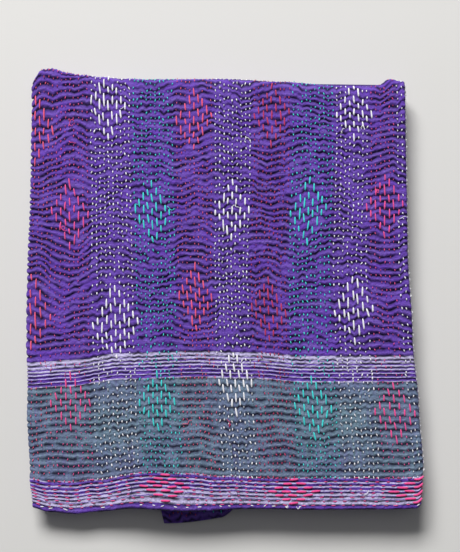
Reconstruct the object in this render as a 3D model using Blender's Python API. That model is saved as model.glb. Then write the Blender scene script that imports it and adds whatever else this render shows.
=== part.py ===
"""A kantha quilt, folded in three across its width and in four along its length, lying flat.

The quilt is one closed sheet. Its left and right thirds are turned under the middle panel, which
makes a strip three layers thick, and that strip is folded back and forth into four runs. Every
point of the sheet is found in three steps: its place in the strip's cross-section, that section's
place along the folded path, and the uneven plan of the finished bundle.

Metres, +Z up, +Y towards the two top folds. The origin is the middle of the bundle's underside.
"""

import math
from functools import partial

import bmesh
import bpy
from mathutils import Vector

# Driving dimensions
CLOTH = 0.0024  # thickness of the stitched layers of sari cloth
AIR = 0.0005  # gap between folded layers
PITCH = CLOTH + AIR  # from one layer's middle to the next one's
HALF_WIDTH = 0.210  # half the width of the bundle before its edges wander
HEM_Y = -0.237  # the hems' line at the front
BACK_Y = 0.2385  # the line of the folds at the back
HEM_NOSE = 0.0008  # how far a hem's rounded edge stands out from its last full section

# How far each turned-under panel reaches, as the x of its free edge
LEFT_PANEL_ENDS_AT = 0.187
RIGHT_PANEL_ENDS_AT = -0.0725

# The middle panel lies at level 0, and the panels below it at levels 1 and 2
LEFT_PANEL_LEVEL = 1
RIGHT_PANEL_LEVEL = 2
STRIP_LEVELS = 3

# How the bundle's outline wanders. The edges at the sides: (y, x); at the ends: (x, y).
LEFT_EDGE = (
    (-0.236, -0.2065),
    (-0.205, -0.2095),
    (-0.130, -0.2140),
    (-0.010, -0.2170),
    (0.130, -0.2150),
    (0.240, -0.2155),
)
RIGHT_EDGE = (
    (-0.236, 0.2130),
    (-0.190, 0.2155),
    (-0.130, 0.2120),
    (-0.050, 0.2065),
    (0.045, 0.2030),
    (0.160, 0.2030),
    (0.236, 0.2030),
)
BACK_EDGE = (
    (-0.212, 0.2400),
    (-0.200, 0.2547),
    (-0.188, 0.2555),
    (-0.172, 0.2512),
    (-0.157, 0.2482),
    (-0.130, 0.2452),
    (-0.105, 0.2407),
    (-0.080, 0.2385),
    (0.007, 0.2390),
    (0.073, 0.2355),
    (0.140, 0.2300),
    (0.166, 0.2296),
    (0.180, 0.2315),
    (0.194, 0.2392),
    (0.205, 0.2365),
)
FRONT_EDGE = (
    (-0.212, -0.2340),
    (-0.190, -0.2390),
    (-0.165, -0.2410),
    (-0.140, -0.2385),
    (-0.100, -0.2345),
    (-0.042, -0.2375),
    (0.028, -0.2345),
    (0.085, -0.2355),
    (0.180, -0.2350),
    (0.204, -0.2340),
    (0.212, -0.2290),
)
END_REACH = 0.085  # how far into the bundle the wander of an end edge is felt
CENTRING = (0.0008, 0.0006, 0.0)  # brings the uneven bundle's box over the origin

# The four runs of the strip, top to bottom: how far each has slipped to the right
RUN_SLIPS = (0.0, 0.0016, -0.0012, 0.0010)
# How far each fold between two runs stops short of the bundle's edge: back, front, back
FOLD_INSETS = (0.0, 0.0040, 0.0030)
# The two hems, top and bottom run: how far they are set back, and how far each turned-under
# panel's hem has crept back by the time it reaches its free edge
HEM_INSETS = {0: 0.0, 3: 0.0040}
LEFT_CREEP = {0: 0.0050, 3: 0.0030}
RIGHT_CREEP = {0: 0.0035, 3: 0.0}
# The bottom run's free corner, which has swung out past the front: where the swing starts, over
# what width it grows, how far the corner stands out, and how much less the hem does away from it
CORNER_STARTS_AT = 0.022
CORNER_GROWS_OVER = 0.030
CORNER_REACH = 0.0216
CORNER_SLOPE = 0.105
# How far the corner leans sideways, and sinks, for each metre it stands out
CORNER_LEAN = 0.20
CORNER_DROOP = 0.15

# Left of the right panel's free edge the stack is thinner, and the layers over it sink down
SINK_STARTS_AT = -0.078
SINK_ENDS_AT = -0.150
SINK = 0.85  # share of the missing layer's thickness that closes up

# Swell and dip of the stack, as shares of its height: (share, x waves per metre, y waves per metre, phase)
SWELLS = ((0.022, 1.3, 0.9, 0.4), (0.016, 2.1, -1.7, 2.0), (0.010, -1.0, 3.1, 4.4))

# Where the sections stand across and along a panel
ACROSS = (
    -0.200, -0.188, -0.172, -0.157, -0.130, -0.105, -0.0725, -0.035,
    -0.010, 0.003, 0.022, 0.073, 0.140, 0.166, 0.180, 0.187, 0.194,
)
ALONG = (-0.205, -0.150, -0.075, 0.010, 0.095, 0.165, 0.212)
SMALL_FOLD_STEPS = 4
RUN_FOLD_STEPS = 6
HEM_STEP = 0.018  # the first section behind a hem

CLOTH_COLOUR = (0.105, 0.038, 0.330, 1.0)
CLOTH_ROUGHNESS = 0.85


def wander(edge, at):
    """The edge's value at that place: a smooth curve through the rows of its table."""
    if at <= edge[0][0]:
        return edge[0][1]
    for (a, low), (b, high) in zip(edge, edge[1:]):
        if at <= b:
            share = (at - a) / (b - a)
            return low + (high - low) * ease(share)
    return edge[-1][1]


def ease(share):
    """0 to 1 with no kink at either end."""
    share = min(1.0, max(0.0, share))
    return share * share * (3 - 2 * share)


def panel_sections(start, end, level, lie):
    """The sections of one panel from x = start to x = end, as (x, depth, normal, level)."""
    low, high = sorted((start, end))
    inside = [x for x in ACROSS if low + 0.002 < x < high - 0.002]
    places = sorted([low, *inside, high], reverse=start > end)
    return [(x, -level * PITCH, (0.0, lie), level) for x in places]


def side_fold(centre_x, radius, side, downwards):
    """The sections round a side fold, without its two ends, as (x, depth, normal, level 0)."""
    turned = []
    for step in range(1, SMALL_FOLD_STEPS):
        angle = math.pi * step / SMALL_FOLD_STEPS
        if not downwards:
            angle = math.pi - angle
        across, up = side * math.sin(angle), math.cos(angle)
        turned.append((centre_x + radius * across, -radius + radius * up, (across, up), 0))
    return turned


def strip_sections():
    """The strip's cross-section from the left panel's free edge to the right panel's."""
    left_radius = PITCH * LEFT_PANEL_LEVEL / 2
    right_radius = PITCH * RIGHT_PANEL_LEVEL / 2
    left_turn = -HALF_WIDTH + left_radius + CLOTH / 2
    right_turn = HALF_WIDTH - right_radius - CLOTH / 2
    return [
        *panel_sections(LEFT_PANEL_ENDS_AT, left_turn, LEFT_PANEL_LEVEL, -1.0),
        *side_fold(left_turn, left_radius, -1, downwards=False),
        *panel_sections(left_turn, right_turn, 0, 1.0),
        *side_fold(right_turn, right_radius, 1, downwards=True),
        *panel_sections(right_turn, RIGHT_PANEL_ENDS_AT, RIGHT_PANEL_LEVEL, -1.0),
    ]


def hem_line(run, x, level):
    """The y at which that part of the strip ends, in the top run or the bottom one."""
    setback = HEM_INSETS[run]
    if level == LEFT_PANEL_LEVEL:
        setback += LEFT_CREEP[run] * ease((x + HALF_WIDTH) / (2 * HALF_WIDTH))
    if level == RIGHT_PANEL_LEVEL:
        setback += RIGHT_CREEP[run] * ease((HALF_WIDTH - x) / (2 * HALF_WIDTH))
        if run == 3:
            swung = ease((CORNER_STARTS_AT - x) / CORNER_GROWS_OVER)
            setback -= (CORNER_REACH - CORNER_SLOPE * (x - RIGHT_PANEL_ENDS_AT)) * swung
    return HEM_Y + setback


def sink(x):
    """How much thinner each pair of facing strips is at x, where the right panel doesn't reach."""
    missing = ease((SINK_STARTS_AT - x) / (SINK_STARTS_AT - SINK_ENDS_AT))
    return 2 * PITCH * SINK * missing


def run_height(run, x):
    """The height of the middle panel at x in that run, counted from the top one."""
    layers_below = (4 * STRIP_LEVELS - 1, 2 * STRIP_LEVELS, 2 * STRIP_LEVELS - 1, 0)[run]
    pairs_below = (2, 1, 1, 0)[run]
    return CLOTH / 2 + layers_below * PITCH - pairs_below * sink(x)


def back_radius(x):
    """A back fold's radius at the middle panel, which is outermost there."""
    return (2 * STRIP_LEVELS - 1) * PITCH / 2 - sink(x) / 2


def on_run(run, y, x, off, level):
    """A point of the strip in a straight run, off being its offset from the middle panel."""
    return y, run_height(run, x) + (off if run % 2 == 0 else -off)


def on_hem(run, step, x, off, level):
    """The same at a hem, or a step behind it."""
    return on_run(run, hem_line(run, x, level) + step, x, off, level)


def on_fold(number, turn_y, angle, x, off, level):
    """A point of the strip in the fold under that run: the front fold has the middle panel inside."""
    if number % 2 == 0:
        radius = back_radius(x)
        centre_z = run_height(number, x) - radius
        return turn_y + (radius + off) * math.sin(angle), centre_z + (radius + off) * math.cos(angle)
    radius = PITCH / 2
    centre_z = run_height(number, x) - radius
    return turn_y - (radius - off) * math.sin(angle), centre_z + (radius - off) * math.cos(angle)


def path_stations():
    """The places along the folded path where the section stands, from the top hem to the bottom one.

    Each is the strip's slip to the right there, and a function from a point's x, its offset from the
    middle panel and its panel's level to its y and z.
    """
    reach = (2 * STRIP_LEVELS - 1) * PITCH / 2 + CLOTH / 2
    turns = (
        BACK_Y - reach - FOLD_INSETS[0],
        HEM_Y + reach + FOLD_INSETS[1],
        BACK_Y - reach - FOLD_INSETS[2],
    )
    stations = [(RUN_SLIPS[0], partial(on_hem, 0, step)) for step in (0.0, HEM_STEP)]
    for run, slip in enumerate(RUN_SLIPS):
        places = ALONG if run % 2 == 0 else reversed(ALONG)
        stations += [(slip, partial(on_run, run, y)) for y in places]
        if run == len(turns):
            break
        for step in range(RUN_FOLD_STEPS + 1):
            share = step / RUN_FOLD_STEPS
            slipped = slip * (1 - share) + RUN_SLIPS[run + 1] * share
            stations.append((slipped, partial(on_fold, run, turns[run], math.pi * share)))
    stations += [(RUN_SLIPS[3], partial(on_hem, 3, step)) for step in (HEM_STEP, 0.0)]
    return stations


def uneven(x, y, z):
    """Moves a point of the squared-up bundle to where it lies in the real, uneven one."""
    share = (x + HALF_WIDTH) / (2 * HALF_WIDTH)
    left, right = wander(LEFT_EDGE, y), wander(RIGHT_EDGE, y)
    back = (wander(BACK_EDGE, x) - BACK_Y) * ease(1 - (BACK_Y - y) / END_REACH)
    front = (wander(FRONT_EDGE, x) - HEM_Y) * ease(1 - (y - HEM_Y) / END_REACH)
    past_hem = max(0.0, HEM_Y - y)
    swell = 1.0
    for size, waves_x, waves_y, phase in SWELLS:
        swell += size * math.sin(2 * math.pi * (waves_x * x + waves_y * y) + phase)
    across = left + (right - left) * share + CORNER_LEAN * past_hem
    return Vector((across, y + back + front, z * swell - CORNER_DROOP * past_hem)) + Vector(CENTRING)


def sheet_points(sections, stations, side):
    """A grid of points on one side of the cloth: +1 its face, -1 its back."""
    grid = []
    for slip, place in stations:
        row = []
        for x, depth, (across, up), level in sections:
            lift = side * CLOTH / 2
            slipped = x + slip + across * lift
            row.append(uneven(slipped, *place(slipped, depth + up * lift, level)))
        grid.append(row)
    return grid


def rim_walk(rows, columns):
    """The grid's outer places in order, each with the place next to it further in."""
    walk = [((0, c), (1, c)) for c in range(columns - 1)]
    walk += [((r, columns - 1), (r, columns - 2)) for r in range(rows - 1)]
    walk += [((rows - 1, c), (rows - 2, c)) for c in range(columns - 1, 0, -1)]
    walk += [((r, 0), (r, 1)) for r in range(rows - 1, 0, -1)]
    return walk


def cloth_mesh():
    """The whole quilt as one closed mesh: face, back, and a rounded hem all round."""
    sections, stations = strip_sections(), path_stations()
    face, back = (sheet_points(sections, stations, side) for side in (1, -1))
    rows, columns = len(stations), len(sections)
    mesh = bmesh.new()
    on_face = [[mesh.verts.new(point) for point in row] for row in face]
    on_back = [[mesh.verts.new(point) for point in row] for row in back]
    for r in range(rows - 1):
        for c in range(columns - 1):
            around = ((r, c), (r, c + 1), (r + 1, c + 1), (r + 1, c))
            mesh.faces.new([on_face[i][j] for i, j in around])
            mesh.faces.new([on_back[i][j] for i, j in reversed(around)])
    walk = rim_walk(rows, columns)
    noses = []
    for (r, c), (r_in, c_in) in walk:
        middle = (face[r][c] + back[r][c]) / 2
        outward = middle - (face[r_in][c_in] + back[r_in][c_in]) / 2
        noses.append(mesh.verts.new(middle + outward.normalized() * HEM_NOSE))
    for i, ((r, c), _) in enumerate(walk):
        following = (i + 1) % len(walk)
        (r_next, c_next), _ = walk[following]
        mesh.faces.new((on_face[r][c], noses[i], noses[following], on_face[r_next][c_next]))
        mesh.faces.new((noses[i], on_back[r][c], on_back[r_next][c_next], noses[following]))
    bmesh.ops.recalc_face_normals(mesh, faces=mesh.faces[:])
    return mesh


def cloth_material():
    material = bpy.data.materials.new("sari_cotton")
    material.use_nodes = True
    shader = material.node_tree.nodes["Principled BSDF"]
    shader.inputs["Base Color"].default_value = CLOTH_COLOUR
    shader.inputs["Roughness"].default_value = CLOTH_ROUGHNESS
    shader.inputs["Metallic"].default_value = 0.0
    return material


def build():
    for leftover in list(bpy.data.objects):
        bpy.data.objects.remove(leftover, do_unlink=True)
    data = bpy.data.meshes.new("quilt")
    mesh = cloth_mesh()
    mesh.to_mesh(data)
    mesh.free()
    data.shade_smooth()
    data.set_sharp_from_angle(angle=math.radians(40))
    quilt = bpy.data.objects.new("quilt", data)
    quilt.data.materials.append(cloth_material())
    bpy.context.scene.collection.objects.link(quilt)


build()
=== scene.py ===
# %% [markdown]
# # A folded kantha quilt
#
# A kantha is made of old saris: a few layers of thin cotton laid on each other and held together by
# rows of running stitch. The maker pulls each thread a little, so the cloth between the stitches
# stands up in soft ridges. This one is violet, with a woven border at its end, and its stitching
# changes colour every nine rows and skips in turn to draw diamonds.
#
# The lesson goes from large to small. It folds a flat sheet on paper first, with formulas, then lays
# the ridges on it, then the stitches, then the loose ends, and then the finishes and the light.
# Everything is worked out on the flat quilt, so a pattern runs round a fold as it does on real cloth.

import math

import bpy
import numpy as np
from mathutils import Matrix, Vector


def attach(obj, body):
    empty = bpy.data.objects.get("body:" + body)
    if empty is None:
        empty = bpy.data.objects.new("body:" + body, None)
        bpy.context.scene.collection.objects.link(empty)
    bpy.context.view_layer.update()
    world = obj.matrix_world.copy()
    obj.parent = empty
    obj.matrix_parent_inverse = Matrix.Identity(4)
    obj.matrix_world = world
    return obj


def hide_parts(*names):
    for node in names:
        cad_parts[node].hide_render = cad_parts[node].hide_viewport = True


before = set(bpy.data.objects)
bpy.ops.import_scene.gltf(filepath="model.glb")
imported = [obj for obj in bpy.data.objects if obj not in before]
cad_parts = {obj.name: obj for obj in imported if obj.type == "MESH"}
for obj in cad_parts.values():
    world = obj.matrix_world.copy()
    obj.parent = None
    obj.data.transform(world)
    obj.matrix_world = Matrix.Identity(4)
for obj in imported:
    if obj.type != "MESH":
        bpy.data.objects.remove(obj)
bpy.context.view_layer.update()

# %% [markdown]
# ## The sizes of the fold
#
# The quilt was folded as many people fold a blanket. Its left and right thirds were turned under the
# middle, which makes a strip three layers thick, and then the strip was folded back and forth into
# four runs. These are the sizes of that fold, in metres. They are the same as the plain model's, so
# the finished cloth lies exactly where the plain one does.

# %% The sizes of the fold
CLOTH = 0.0024  # thickness of the stitched layers
PITCH = 0.0029  # from one layer's middle to the next one's
HALF_WIDTH = 0.210
HEM_Y = -0.237
BACK_Y = 0.2385
LEFT_TURN = -HALF_WIDTH + PITCH / 2 + CLOTH / 2  # where the left side fold starts
RIGHT_TURN = HALF_WIDTH - PITCH - CLOTH / 2  # where the right side fold starts
LEFT_PANEL = 0.187 - LEFT_TURN  # how wide the turned-under panels are
RIGHT_PANEL_ENDS_AT = -0.0725
RIGHT_PANEL = RIGHT_TURN - RIGHT_PANEL_ENDS_AT
STRIP_REACH = 2.5 * PITCH + CLOTH / 2  # how far a fold between two runs stands out
TURNS = (BACK_Y - STRIP_REACH, HEM_Y + STRIP_REACH + 0.004, BACK_Y - STRIP_REACH - 0.003)
RUN_SLIPS = (0.0, 0.0016, -0.0012, 0.0010)
HEM_INSETS = (0.0, 0.0040)  # at the top run's hem and at the bottom run's
LEFT_CREEP = (0.0050, 0.0030)
RIGHT_CREEP = (0.0035, 0.0)
CORNER_STARTS_AT, CORNER_GROWS_OVER = 0.022, 0.030
CORNER_REACH, CORNER_SLOPE, CORNER_LEAN, CORNER_DROOP = 0.0216, 0.105, 0.20, 0.15
SINK_STARTS_AT, SINK_ENDS_AT, SINK = -0.078, -0.150, 0.85
SWELLS = ((0.022, 1.3, 0.9, 0.4), (0.016, 2.1, -1.7, 2.0), (0.010, -1.0, 3.1, 4.4))
END_REACH = 0.085
DRAWN_IN = 0.007
CENTRING = (0.0008, 0.0006, 0.0)

# %% [markdown]
# ## An outline that wanders
#
# No edge of a folded quilt is straight. Each edge is a short table of places, and a smooth curve runs
# through them. The side edges are given as y and x, and the ends as x and y.

# %% The four edges and a curve through a table
LEFT_EDGE = (
    (-0.236, -0.2065), (-0.205, -0.2095), (-0.130, -0.2140),
    (-0.010, -0.2170), (0.130, -0.2150), (0.240, -0.2155),
)
RIGHT_EDGE = (
    (-0.236, 0.2130), (-0.190, 0.2155), (-0.130, 0.2120),
    (-0.050, 0.2065), (0.045, 0.2030), (0.160, 0.2030),
    (0.236, 0.2030),
)
BACK_EDGE = (
    (-0.212, 0.2400), (-0.200, 0.2547), (-0.188, 0.2555),
    (-0.172, 0.2512), (-0.157, 0.2482), (-0.130, 0.2452),
    (-0.105, 0.2407), (-0.080, 0.2385), (0.007, 0.2390),
    (0.073, 0.2355), (0.140, 0.2300), (0.166, 0.2296),
    (0.180, 0.2315), (0.194, 0.2392), (0.205, 0.2365),
)
FRONT_EDGE = (
    (-0.212, -0.2340), (-0.190, -0.2390), (-0.165, -0.2410),
    (-0.140, -0.2385), (-0.100, -0.2345), (-0.042, -0.2375),
    (0.028, -0.2345), (0.085, -0.2355), (0.180, -0.2350),
    (0.204, -0.2340), (0.212, -0.2290),
)


def ease(share):
    """0 to 1 with no kink at either end."""
    share = np.clip(share, 0.0, 1.0)
    return share * share * (3 - 2 * share)


def wander(table, at):
    """The table's value at each place, on a smooth curve through its rows."""
    places, values = np.array(table).T
    row = np.clip(np.searchsorted(places, at) - 1, 0, len(places) - 2)
    share = ease((at - places[row]) / (places[row + 1] - places[row]))
    return values[row] * (1 - share) + values[row + 1] * share


# %% [markdown]
# ## From the flat quilt to the folded one
#
# A place on the flat quilt is given by two numbers. `across` runs over the width, and is 0 at the
# middle panel's middle. `along` runs down the length from the top hem. `folded` takes such places,
# and a height off the middle of the cloth, to where they lie in the bundle. It does it in three
# steps: round the side folds, along the back and forth of the runs, and into the uneven outline.
# Formulas make this one smooth move, which a row of separate bends wouldn't be.

# %% Round the side folds
RUN_ENDS = np.cumsum([
    TURNS[0] - HEM_Y, math.pi * 2.5 * PITCH,
    TURNS[0] - TURNS[1], math.pi * 2.5 * PITCH,
    TURNS[2] - TURNS[1], math.pi * 2.5 * PITCH,
    TURNS[2] - HEM_Y,
])
LENGTH = RUN_ENDS[-1]
LEFT_ARC, RIGHT_ARC = math.pi * PITCH / 2, math.pi * PITCH
LEFT_END = LEFT_TURN - LEFT_ARC - LEFT_PANEL
RIGHT_END = RIGHT_TURN + RIGHT_ARC + RIGHT_PANEL


def side_folded(across):
    """Where places over the width lie in the strip: x, depth, and which way the cloth faces."""
    left = np.clip((LEFT_TURN - across) / (PITCH / 2), 0, math.pi)
    right = np.clip((across - RIGHT_TURN) / PITCH, 0, math.pi)
    x = np.clip(across, LEFT_TURN, RIGHT_TURN)
    x = x - PITCH / 2 * np.sin(left) + np.clip(LEFT_TURN - LEFT_ARC - across, 0, None)
    x = x + PITCH * np.sin(right) - np.clip(across - RIGHT_TURN - RIGHT_ARC, 0, None)
    depth = PITCH / 2 * (np.cos(left) - 1) + PITCH * (np.cos(right) - 1)
    facing_x = np.sin(right) - np.sin(left)
    facing_up = np.where(across > 0, np.cos(right), np.cos(left))
    return x, depth, facing_x, facing_up


print(f"the cloth is {RIGHT_END - LEFT_END:.3f} m wide and {LENGTH:.3f} m long")


# %% Along the four runs
def sink(x):
    """How much thinner a pair of strips is where the right panel doesn't reach."""
    return 2 * PITCH * SINK * ease((SINK_STARTS_AT - x) / (SINK_STARTS_AT - SINK_ENDS_AT))


def run_height(run, x):
    """The height of the middle panel in that run."""
    layers_below, pairs_below = ((11, 2), (6, 1), (5, 1), (0, 0))[run]
    return CLOTH / 2 + layers_below * PITCH - pairs_below * sink(x)


def hem_shift(end, x, level, step):
    """How far the hem at that end is set back, fading out a little way in from it."""
    left = LEFT_CREEP[end] * ease((x + HALF_WIDTH) / (2 * HALF_WIDTH)) * (level == 1)
    right = RIGHT_CREEP[end] * ease((HALF_WIDTH - x) / (2 * HALF_WIDTH)) * (level == 2)
    swung = ease((CORNER_STARTS_AT - x) / CORNER_GROWS_OVER) * (level == 2) * end
    corner = (CORNER_REACH - CORNER_SLOPE * (x - RIGHT_PANEL_ENDS_AT)) * swung
    return (HEM_INSETS[end] + left + right - corner) * (1 - ease(step / 0.05))


def along_runs(along, x, off, level):
    """y and z of places along the strip, off being their offset from the middle panel."""
    y, z = np.empty_like(x), np.empty_like(x)
    part = np.searchsorted(RUN_ENDS[:-1], along)
    for run in range(4):
        here = part == 2 * run
        start = 0.0 if run == 0 else RUN_ENDS[2 * run - 1]
        step = along[here] - start
        if run % 2 == 0:
            y[here] = (HEM_Y if run == 0 else TURNS[1]) + step
            z[here] = run_height(run, x[here]) + off[here]
        else:
            y[here] = TURNS[run - 1] - step
            z[here] = run_height(run, x[here]) - off[here]
        if run == 0:
            y[here] += hem_shift(0, x[here], level[here], step)
        if run == 3:
            y[here] += hem_shift(1, x[here], level[here], LENGTH - along[here])
    for fold in range(3):
        here = part == 2 * fold + 1
        angle = (along[here] - RUN_ENDS[2 * fold]) / (2.5 * PITCH)
        outward = 1 if fold % 2 == 0 else -1
        radius = 2.5 * PITCH - sink(x[here]) / 2 if outward > 0 else PITCH / 2
        spread = radius + outward * off[here]
        y[here] = TURNS[fold] + outward * spread * np.sin(angle)
        z[here] = run_height(fold, x[here]) - radius + spread * np.cos(angle)
    return y, z


# %% Into the uneven outline
def uneven(x, y, z):
    """Moves places of the squared-up bundle to where they lie in the real one."""
    share = (x + HALF_WIDTH) / (2 * HALF_WIDTH)
    left, right = wander(LEFT_EDGE, y), wander(RIGHT_EDGE, y)
    back = (wander(BACK_EDGE, x) - BACK_Y) * ease(1 - (BACK_Y - y) / END_REACH)
    front = (wander(FRONT_EDGE, x) - HEM_Y) * ease(1 - (y - HEM_Y) / END_REACH)
    past_hem = np.clip(HEM_Y - y, 0, None)
    swell = 1.0
    for size, waves_x, waves_y, phase in SWELLS:
        swell = swell + size * np.sin(2 * math.pi * (waves_x * x + waves_y * y) + phase)
    across = left + (right - left) * share + CORNER_LEAN * past_hem
    placed = (across, y + back + front, z * swell - CORNER_DROOP * past_hem)
    return np.stack(placed, -1) + np.array(CENTRING)


def slip(along):
    """How far the strip has slipped to the right there."""
    ends = [0.0, *RUN_ENDS]
    return np.interp(along, ends, np.repeat(RUN_SLIPS, 2))


def drawn_in(across, along):
    """The stitching has drawn the cloth in over the width, more so towards the front."""
    share = ease((0.435 - along) / 0.23)
    inside = np.clip(across / HALF_WIDTH, -1, 1)
    return across - DRAWN_IN * np.sin(math.pi * inside) * share


def folded(across, along, height):
    """Takes places on the flat quilt, at a height off the cloth's middle, into the bundle."""
    across, along, height = np.broadcast_arrays(across, along, height)
    x, depth, facing_x, facing_up = side_folded(drawn_in(across, along))
    on_left, on_right = across < LEFT_TURN - LEFT_ARC / 2, across > RIGHT_TURN + RIGHT_ARC / 2
    level = np.where(on_left, 1, np.where(on_right, 2, 0))
    x = x + facing_x * height + slip(along)
    y, z = along_runs(along, x, depth + facing_up * height, level)
    return uneven(x, y, z)


print("the top hem's middle lies at", folded(0.0, 0.0, 0.0).round(4))

# %% [markdown]
# ## The lie of the cloth
#
# The border was woven before the quilt was stitched and folded, so its stripes don't run dead
# straight: they rise and fall a few millimetres over the width. `from_hem` gives how far along the
# woven cloth a place is. It counts real cloth, so a layer on the outside of a fold has more of it.

# %% How far from the hem, in real cloth
STRIP_END = 0.0055  # the plain violet strip along the hem
LOWER_END = 0.0350  # the lower stripes
GREY_END = 0.1400  # the grey band
UPPER_END = 0.1685  # the upper stripes, with plain violet beyond them
LOWER_RISE = (
    (-0.21, -0.0040), (-0.145, -0.0020), (-0.080, 0.0048), (-0.045, 0.0042),
    (0.000, 0.0002), (0.040, -0.0020), (0.120, -0.0012), (0.21, -0.0020),
)
UPPER_RISE = (
    (-0.21, -0.0108), (-0.170, -0.0085), (-0.115, -0.0008), (-0.025, 0.0015),
    (0.040, 0.0000), (0.100, -0.0040), (0.21, -0.0036),
)


HEM_RISE = ((-0.21, 0.0), (-0.030, 0.0), (0.060, 0.0016), (0.21, 0.0020))


def cloth_used(across, along):
    """How much cloth lies between the hem and each place, with folds counted at their own radius."""
    depth = side_folded(across)[1]
    used = np.array(along, dtype=float)
    for fold in range(3):
        start, end = RUN_ENDS[2 * fold], RUN_ENDS[2 * fold + 1]
        true_radius = 2.5 * PITCH + depth if fold % 2 == 0 else PITCH / 2 - depth
        inside = np.clip(along, start, end) - start
        used = used + inside * (true_radius / (2.5 * PITCH) - 1)
        if fold < 2:  # the runs that nobody sees take up the difference
            next_end = RUN_ENDS[2 * fold + 2]
            share = np.clip((along - end) / (next_end - end), 0, 1)
            used = used - share * (end - start) * (true_radius / (2.5 * PITCH) - 1)
    return used


def from_hem(across, along):
    """The distance from the top hem along the woven cloth, which rises and falls over the width."""
    lower = wander(LOWER_RISE, np.clip(across, -0.209, 0.209))
    upper = wander(UPPER_RISE, np.clip(across, -0.209, 0.209))
    higher = ease((along - LOWER_END) / (GREY_END - LOWER_END))
    rise = (lower * (1 - higher) + upper * higher) * ease(along / 0.022)
    strip = wander(HEM_RISE, np.clip(across, -0.209, 0.209)) * ease(along / 0.004) * (1 - ease(along / 0.022))
    return cloth_used(across, along) + strip - rise * (1 - ease((along - UPPER_END) / 0.10))


# %% [markdown]
# ## The rows of the quilting
#
# The stitches of neighbouring rows stand side by side, so the dips they pull make lines across the
# quilt, and the cloth between two lines is a ridge. `ridge_count` numbers the lines: it is 0 at the
# hem and grows by one for each ridge. The ridges are narrow in the striped border and wide in the
# plain cloth, and they spread where a diamond is and crowd beside it, so they wave from side to
# side. A count that is bent a little gives all of that at once, and no ridge ever ends in nothing.

# %% The ridges
ROW_GAP = 0.00484  # between two rows of stitching
MIDDLE_ROW_AT = 0.0166  # where row 0 lies
ZONES = (  # (where the zone ends, ridges in it, how high they stand)
    (STRIP_END, 1, 0.0005),
    (LOWER_END, 7, 0.0017),
    (GREY_END, 14, 0.0020),
    (UPPER_END, 7, 0.0017),
)
RIDGE = 0.00727  # width of a ridge in the plain cloth
RIDGE_HEIGHT = 0.0031
BORDER_RIDGES = sum(ridges for _, ridges, _ in ZONES)
# The groups of nine or so rows sewn in one colour: (middle row, colour, place in the pattern)
GROUPS = (
    (-46, "coral", -5), (-38, "pink", -4), (-29, "white", -3), (-19, "aqua", -2), (-9, "coral", -1),
    (0, "white", 0), (9, "crimson", 1), (18, "aqua", 2), (28, "white", 3), (35, "pink", 4),
    (40, "white", 5),
)
DIAMOND_REPEAT = 0.2190  # along the cloth, between two diamonds of one group
FIRST_DIAMOND = 0.2150  # from the hem to the lowest diamonds of the plain cloth
# How far, in ridges, the stitches of every other row are set back in the tightly sewn groups
STAGGERED = {"white": 0.17, "aqua": 0.13}
BOW = 0.62  # how far, in ridges, the lines give way beside a diamond
# Slow waves of the lines: (ridges, waves over a metre of width, waves over a metre of length, phase)
WAVES = (
    (0.34, 8.3, 1.9, 0.6), (0.26, -12.7, 3.1, 2.1), (0.17, 19.3, -4.3, 4.0),
    (0.12, 31.0, 6.7, 1.2), (0.08, 47.0, -11.0, 5.1),
)


def row_number(across):
    return (across - MIDDLE_ROW_AT) / ROW_GAP


chance = np.random.default_rng(7)
UNEVEN = chance.uniform(-1, 1, (64, 128))


def per_stitch(rows, ridges, layer=0):
    """A number from -1 to 1 that differs from stitch to stitch and runs smoothly in between."""
    row, ridge = rows + 23 * layer, ridges + 41 * layer
    low_row, low_ridge = np.floor(row).astype(int), np.floor(ridge).astype(int)
    share_row, share_ridge = ease(row - low_row), ease(ridge - low_ridge)
    corner = [
        [UNEVEN[(low_row + i) % 64, (low_ridge + j) % 128] for j in (0, 1)] for i in (0, 1)
    ]
    near = corner[0][0] * (1 - share_ridge) + corner[0][1] * share_ridge
    far = corner[1][0] * (1 - share_ridge) + corner[1][1] * share_ridge
    return near * (1 - share_row) + far * share_row


def tightness(rows, distance):
    """How tightly the thread was pulled: 1 in the white groups and in the grey band."""
    group = np.interp(rows, [g[0] for g in GROUPS], [g[1] == "white" for g in GROUPS])
    in_grey = ease((distance - LOWER_END) / 0.008) * ease((UPPER_END - distance) / 0.008)
    return np.maximum(ease(2 * group - 1), in_grey)


def ridge_count(across, along):
    """The number of the quilting line at each place, with parts of a ridge between two lines."""
    distance = from_hem(across, along)
    ends = [0.0] + [end for end, _, _ in ZONES]
    counts = np.cumsum([0] + [ridges for _, ridges, _ in ZONES])
    plain = BORDER_RIDGES + (distance - UPPER_END) / RIDGE
    count = np.where(distance < UPPER_END, np.interp(distance, ends, counts), plain)
    place = np.interp(row_number(across), [g[0] for g in GROUPS], [g[2] for g in GROUPS])
    turn = 2 * math.pi * (distance - FIRST_DIAMOND) / DIAMOND_REPEAT
    bow = -BOW * np.sin(turn) * np.cos(math.pi * (place + 1))
    waves = sum(
        size * np.sin(2 * math.pi * (over * across + down * distance) + phase)
        for size, over, down, phase in WAVES
    )
    in_field = ease((distance - UPPER_END) / 0.035)
    in_grey = 0.45 * ease((distance - LOWER_END) / 0.03) * ease((GREY_END - distance) / 0.03)
    count = count + (bow + waves) * in_field + (0.4 * bow + waves) * in_grey
    loose = (0.05 + 0.10 * in_field) * ease(distance / 0.006)
    rows = row_number(across)
    staggered = np.interp(rows, [g[0] for g in GROUPS], [STAGGERED.get(g[1], 0.03) for g in GROUPS])
    count = count + staggered * np.cos(math.pi * rows) * ease((distance - LOWER_END) / 0.010)
    return count + loose * (per_stitch(rows, count) + 1.4 * per_stitch(rows / 2.2, count / 1.7, 4))


# %% Find the place of a line again
LOOK_STEP = 0.0004  # how finely the cloth is searched for a line


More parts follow.
